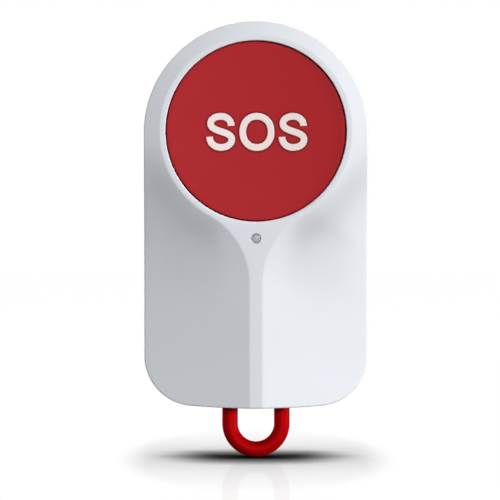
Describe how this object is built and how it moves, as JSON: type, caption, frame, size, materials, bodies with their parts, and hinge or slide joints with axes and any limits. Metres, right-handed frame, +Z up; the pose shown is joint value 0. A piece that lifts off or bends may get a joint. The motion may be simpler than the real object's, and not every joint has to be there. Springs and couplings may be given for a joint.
{
  "type": "wireless panic button",
  "caption": "Wall-mounted wireless panic button: pale arched housing with a raised keyhole relief, a round red press button, a small light and a red pull loop below.",
  "frame": {"origin": "on the back face that lies on the wall, level with the middle of the press button", "axes": "+X to the right as seen from the front, +Z up, the front faces -Y and the wall is on the +Y side"},
  "size_m": [0.0376, 0.015, 0.0733],
  "materials": {
    "white_plastic": "satin",
    "red_button": "satin",
    "red_rod": "gloss",
    "grey_rubber": "matte",
    "black_plastic": "matte",
    "bright_steel": "satin",
    "green_board": "satin",
    "lamp_resin": "gloss",
    "clear_plastic": "gloss",
    "gold_brass": "satin",
    "tan_ceramic": "matte"
  },
  "bodies": {
    "housing": {"front_cover": "white_plastic", "rear_cover": "white_plastic", "return_pad": "grey_rubber", "press_switch_body": "black_plastic", "press_switch_frame": "bright_steel", "pull_spring": "bright_steel", "pull_switch_body": "black_plastic", "pull_switch_cover": "bright_steel", "circuit_board": "green_board", "board_screws": "bright_steel", "status_light": "lamp_resin", "light_pipe": "clear_plastic", "coin_cell": "bright_steel", "cell_contact": "gold_brass", "cell_strap": "bright_steel", "radio_chip": "black_plastic", "crystal": "bright_steel", "chip_capacitors": "tan_ceramic", "antenna": "gold_brass"},
    "button": {"press_button": "red_button", "press_switch_plunger": "black_plastic"},
    "pull": {"pull_loop": "red_rod", "pull_slider": "white_plastic", "pull_switch_knob": "black_plastic"}
  },
  "joints": [
    {"name": "button_press", "type": "slide", "parent": "housing", "child": "button", "axis": [0, 1, 0], "range_m": [0, 0.0006], "stiffness_N_per_m": 1500, "springref_m": -0.0005, "deforming": ["return_pad"]},
    {"name": "loop_pull", "type": "slide", "parent": "housing", "child": "pull", "axis": [0, 0, -1], "range_m": [0, 0.0025], "stiffness_N_per_m": 600, "springref_m": -0.002, "deforming": ["pull_spring"]}
  ]
}
